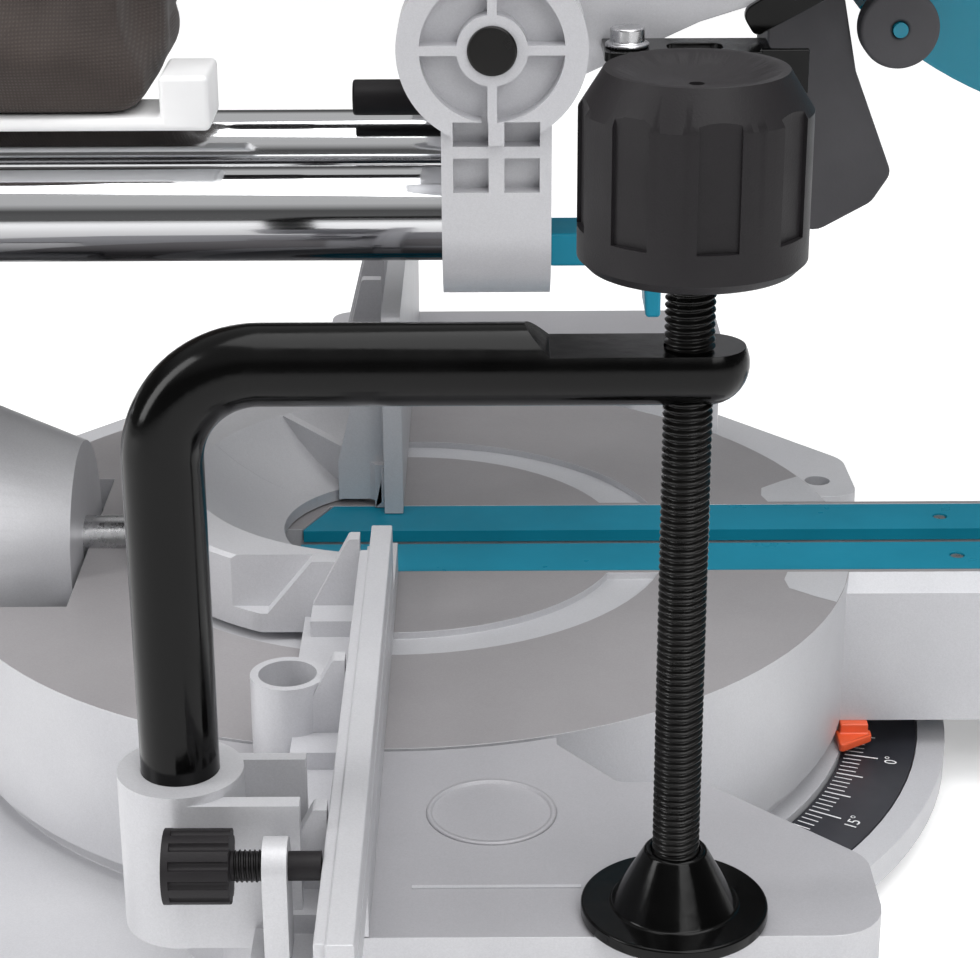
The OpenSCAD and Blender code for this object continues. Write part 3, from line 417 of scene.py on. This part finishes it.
# Raised rim of the plain round seat in the left wing, and the cast ridge beside it
SEAT, SEAT_RIM = (-161, -26, TABLE), [(13.4, -1.6), (13.8, 0.5), (14.9, 0.5), (15.2, -0.1)]
RIDGE, RIDGE_SIZE = (-194, -27, TABLE + 0.1), (1.1, 37, 0.5)
revolved("wing_seat_rim", SEAT_RIM, Matrix.Translation(SEAT), wing_paint, "base", 72)
own_mesh("wing_ridge", boxes([(Matrix.Translation(RIDGE), RIDGE_SIZE)]), silver_paint, "base")

# Silver shoulders where the front arm's sloped edges run out into the ground table
SHOULDER = [(26, -110), (31, -108.5), (37, -109.2), (42.6, -115.8), (46.4, -121.2), (36, -124.8),
            (26, -127.2)]
LIFT = 0.06  # a printed or painted patch stands this far above its face, mm
for side, name in (-1, "left_shoulder"), (1, "right_shoulder"):
    bm = bmesh.new()
    bm.faces.new([bm.verts.new(Vector((side * x, y, TABLE + LIFT)) * MM) for x, y in SHOULDER[::side]])
    own_mesh(name, bm, silver_paint, "turntable")

# Button-head screws, their sockets drawn round, in the left side of the handle and of the blade housing
arbor = (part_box("saw_blade")[0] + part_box("saw_blade")[1]) / 2 / MM
BUTTON = [(0.1, -0.5), (4.2, -0.5), (4.2, 0.6), (3.6, 1.6), (2.5, 2.1), (1.6, 2.1), (1.5, 0.9), (0.1, 0.9)]
TO_LEFT = Matrix.Rotation(math.radians(-90), 4, "Y")
HOUSING_ANGLES, HOUSING_FACE, HOUSING_RADIUS = (0, 55, 110), -14, 100  # degrees, X and radius in mm
seats = [(-15, -230, 372 + TABLE), (-15, -352, 345 + TABLE)]
for a in map(math.radians, HOUSING_ANGLES):
    out, up = HOUSING_RADIUS * math.cos(a), HOUSING_RADIUS * math.sin(a)
    seats.append((HOUSING_FACE, arbor.y + out, arbor.z + up))
for i, seat in enumerate(seats):
    revolved(f"side_screw_{i + 1}", BUTTON, Matrix.Translation(seat) @ TO_LEFT, zinc, "head", 24)


def cut(node, bm):
    """Cuts a bmesh out of a node's rounded copy."""
    cutter = placed("cutter", meshed("cutter", bm))
    difference = shapes[node].modifiers.new("cut", "BOOLEAN")
    difference.operation, difference.solver, difference.object = "DIFFERENCE", "EXACT", cutter
    baked(shapes[node])
    bpy.data.objects.remove(cutter)


# Cooling slots through the motor housing, clear of the two brush caps
BRUSH_ANGLES = (45, 60, 120, 135, 225, 240, 300, 315)  # degrees
SLOT_SIZE, SLOT_RADIUS, SLOT_FROM_END = (26, 3.2, 14), 42, 24
motor_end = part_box("motor_housing")[1].x / MM
slots = []
for angle in range(0, 360, 15):
    if angle not in BRUSH_ANGLES:
        turn = Matrix.Translation((0, arbor.y, arbor.z)) @ Matrix.Rotation(math.radians(angle), 4, "X")
        slots.append((turn @ Matrix.Translation((motor_end - SLOT_FROM_END, 0, SLOT_RADIUS)), SLOT_SIZE))
cut("motor_housing", boxes(slots))

# Mitre scale: a tick each degree and a number each 15 degrees; zero stands under the pointer, left of the arm
SCALE_ZERO = 16.5  # degrees left of the front
SCALE_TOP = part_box("mitre_scale")[1].z / MM
TICK_RADIUS, NUMBER_RADIUS, NUMBER_SIZE = 132.6, 146.0, 5.0


def on_scale(radius, angle):
    """A point on the scale's top, from a radius in mm and degrees to the left of the front."""
    a = math.radians(angle)
    return Vector((-radius * math.sin(a), -radius * math.cos(a), SCALE_TOP + LIFT)) * MM


bm = bmesh.new()
for value in range(-47, 40):
    end = TICK_RADIUS + (9.5 if value % 15 == 0 else 7.5 if value % 5 == 0 else 5.0)
    half = 0.09 if value % 5 else 0.12  # half a tick's width, degrees
    angle = SCALE_ZERO + value
    corners = (TICK_RADIUS, -half), (TICK_RADIUS, half), (end, half), (end, -half)
    bm.faces.new([bm.verts.new(on_scale(radius, angle + turn)) for radius, turn in corners])
bmesh.ops.recalc_face_normals(bm, faces=bm.faces)
own_mesh("scale_ticks", bm, scale_white, "base")
for value in range(-45, 31, 15):
    text = bpy.data.curves.new("number", "FONT")
    text.body = f"{abs(value)}°"
    text.size = NUMBER_SIZE * MM
    text.align_x = text.align_y = "CENTER"
    holder = placed("number", text)
    graph = bpy.context.evaluated_depsgraph_get()
    mesh = bpy.data.meshes.new_from_object(holder.evaluated_get(graph))
    bpy.data.objects.remove(holder)
    angle = SCALE_ZERO + value
    turn = Matrix.Rotation(math.radians(-angle), 4, "Z")
    mesh.transform(Matrix.Translation(on_scale(NUMBER_RADIUS, angle)) @ turn)
    mesh.materials.clear()
    mesh.materials.append(scale_white)
    number = placed(f"scale_number_{'l' if value > 0 else 'r'}{abs(value)}", mesh)
    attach(number, "base")


def saw_blade():
    """A blade with raked teeth, and a body thinner than its hub and its tips."""
    low, high = (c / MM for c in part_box("saw_blade"))
    cy, cz, tip = (low.y + high.y) / 2, (low.z + high.z) / 2, (high.z - low.z) / 2
    # A tooth, as shares of its pitch and drops from the tip's radius in mm
    tooth = [(0.0, -10.0), (0.12, -11.0), (0.26, -8.5), (0.5, -3.2), (0.82, -1.2), (0.98, 0.0)]
    teeth = 40
    outline = [(math.tau * (t + share) / teeth, tip + drop) for t in range(teeth) for share, drop in tooth]
    half = (high.x - low.x) / 2
    thin = half * 0.8
    bore, hub, inside_teeth = 10.0, 60.0, 0.88

    def ring(x, radius=None, part=1.0):
        """Points at x round the arbor: on a circle, or on a part of the toothed outline."""
        sizes = [(a, radius or r * part) for a, r in outline]
        return [Vector((x, cy + r * math.cos(a), cz + r * math.sin(a))) * MM for a, r in sizes]

    bm = bmesh.new()
    rings = [ring(-half, bore), ring(-thin, hub), ring(-thin, None, inside_teeth), ring(-half),
             ring(half), ring(thin, None, inside_teeth), ring(thin, hub), ring(half, bore)]
    tube(bm, rings + [rings[0]], False)
    bmesh.ops.remove_doubles(bm, verts=bm.verts, dist=0.001 * MM)
    bmesh.ops.recalc_face_normals(bm, faces=bm.faces)
    for face in bm.faces:
        face.smooth = False
    return own_mesh("saw_blade_teeth", bm, blade_metal, "blade", "saw_blade")


saw_blade()

# Dust bag
CLOTH_VOXEL = 5 * MM
CLOTH_SHARE = 0.97  # of the solid bag's size, so that the cloth hangs inside it
CLOTH_FRAMES = 26
CLOTH_REACH = 12 * MM  # the farthest that the cloth moves
MOUTH_DEPTH, MOUTH_RADIUS, CLIP_HEIGHT = 8 * MM, 26 * MM, 9 * MM  # where the collar and the clip hold it


def dust_bag():
    """A cloth shell that sags and wrinkles between its collar and its clip."""
    low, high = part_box("dust_bag")
    bm = clean_copy("dust_bag")
    bag = own_mesh("dust_bag_cloth", bm, bag_fabric, body_of["dust_bag"], "dust_bag")
    mesher = bag.modifiers.new("remesh", "REMESH")
    mesher.mode = "VOXEL"
    mesher.voxel_size = CLOTH_VOXEL
    baked(bag)
    foot = Vector(((low.x + high.x) / 2, (low.y + high.y) / 2, low.z))
    for v in bag.data.vertices:
        v.co = foot + (v.co - foot) * CLOTH_SHARE
    start = [v.co.copy() for v in bag.data.vertices]
    tube_low, tube_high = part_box("bag_collar")
    mouth = Vector(((tube_low.x + tube_high.x) / 2, low.y, (tube_low.z + tube_high.z) / 2))
    held = bag.vertex_groups.new(name="held")
    for v in bag.data.vertices:
        near_mouth = v.co.y < low.y + MOUTH_DEPTH and (v.co - mouth).length < MOUTH_RADIUS
        if near_mouth or v.co.z < low.z + CLIP_HEIGHT:
            held.add([v.index], 1.0, "REPLACE")
    cloth = bag.modifiers.new("cloth", "CLOTH")
    cloth.settings.quality = 5
    cloth.settings.mass = 0.15
    cloth.settings.bending_stiffness = 0.15
    cloth.settings.use_pressure = True
    cloth.settings.uniform_pressure_force = 0.6
    cloth.settings.shrink_min = -0.09
    cloth.settings.effector_weights.gravity = 0.6
    cloth.settings.vertex_group_mass = "held"
    cloth.point_cache.frame_end = CLOTH_FRAMES
    scene = bpy.context.scene
    for i in range(1, CLOTH_FRAMES + 1):
        scene.frame_set(i)
    baked(bag)
    scene.frame_set(1)
    for v, old in zip(bag.data.vertices, start):
        move = v.co - old
        if move.length > CLOTH_REACH:
            v.co = old + move * (CLOTH_REACH / move.length)
    smooth = bag.modifiers.new("smooth", "SMOOTH")
    smooth.factor, smooth.iterations = 0.5, 8
    bag.modifiers.new("finer", "SUBSURF").levels = 1
    baked(bag)
    for face in bag.data.polygons:
        face.use_smooth = True


dust_bag()

# Floor, light and camera
floor_mesh = bpy.data.meshes.new("floor")
floor_mesh.from_pydata([(-6, -6, 0), (6, -6, 0), (6, 6, 0), (-6, 6, 0)], [], [(0, 1, 2, 3)])
# White paper: matt and even. It glows a little for the camera, metal and glass, so that it shows white
# and keeps the saw's shadow
FLOOR_GLOW = 0.3
paper = plain("white_paper_floor", "F4F4F4", "F8F8F8", 0.7, 5, 0.01, patch_mm=400)
tree = paper.node_tree
camera_ray, glossy_ray, clear_ray = [
    add(tree, "ShaderNodeLightPath", f"Is {kind} Ray") for kind in ("Camera", "Glossy", "Transmission")]
seen = add(tree, "ShaderNodeMath", 0, {0: camera_ray, 1: glossy_ray}, operation="MAXIMUM")
seen = add(tree, "ShaderNodeMath", 0, {0: seen, 1: clear_ray}, operation="MAXIMUM")
glow = add(tree, "ShaderNodeMath", 0, {0: seen, 1: FLOOR_GLOW}, operation="MULTIPLY")
fill(tree, tree.nodes["Principled BSDF"], {"Emission Color": (1, 1, 1, 1), "Emission Strength": glow})
floor_mesh.materials.append(paper)
floor = placed("floor", floor_mesh)

world = bpy.data.worlds.new("studio")
bpy.context.scene.world = world
world.use_nodes = True
sky = world.node_tree
direction = add(sky, "ShaderNodeTexCoord", "Generated")
height = add(sky, "ShaderNodeSeparateXYZ", "Z", {0: direction})
dome = add(sky, "ShaderNodeValToRGB", "Color", {0: height}, [
    (0.0, rgb("8A8A8A")), (0.38, rgb("707070")), (0.62, rgb("FFFFFF")), (1.0, rgb("FFFFFF"))])
fill(sky, sky.nodes["Background"], {"Color": dome, "Strength": 0.5})


def softbox(name, place, target, size, power):
    """A rectangular lamp aimed at a target; metres and watts."""
    lamp = bpy.data.lights.new(name, "AREA")
    lamp.shape = "RECTANGLE"
    lamp.size, lamp.size_y = size
    lamp.energy = power
    obj = placed(name, lamp)
    obj.location = place
    obj.rotation_euler = (Vector(target) - Vector(place)).to_track_quat("-Z", "Y").to_euler()


softbox("top_softbox", (-0.2, -0.2, 1.7), (0, 0, 0.1), (1.5, 1.5), 22)
softbox("rear_left_strip", (-0.5, 1.5, 0.9), (-0.1, 0, 0.15), (0.5, 1.4), 14)
softbox("front_fill", (-1.5, -0.7, 1.2), (0, 0, 0.1), (1.0, 1.0), 12)

# Camera, as solved from the photograph
PHOTO_WIDTH, FOCAL_PIXELS = 980, 2438
CAMERA_PLACE, CAMERA_ROLL = (-0.6555, -0.026, 0.3478), math.radians(-0.26)
camera = bpy.data.cameras.new("photo_camera")
camera.sensor_width = 36
camera.lens = camera.sensor_width * FOCAL_PIXELS / PHOTO_WIDTH
camera_obj = placed("photo_camera", camera)
forward = Vector((0.9279, 0.0, -0.3730)).normalized()
turn = forward.to_track_quat("-Z", "Y").to_matrix() @ Matrix.Rotation(CAMERA_ROLL, 3, "Z")
camera_obj.matrix_world = Matrix.Translation(CAMERA_PLACE) @ turn.to_4x4()
bpy.context.scene.camera = camera_obj
bpy.context.scene.view_settings.view_transform = "Standard"
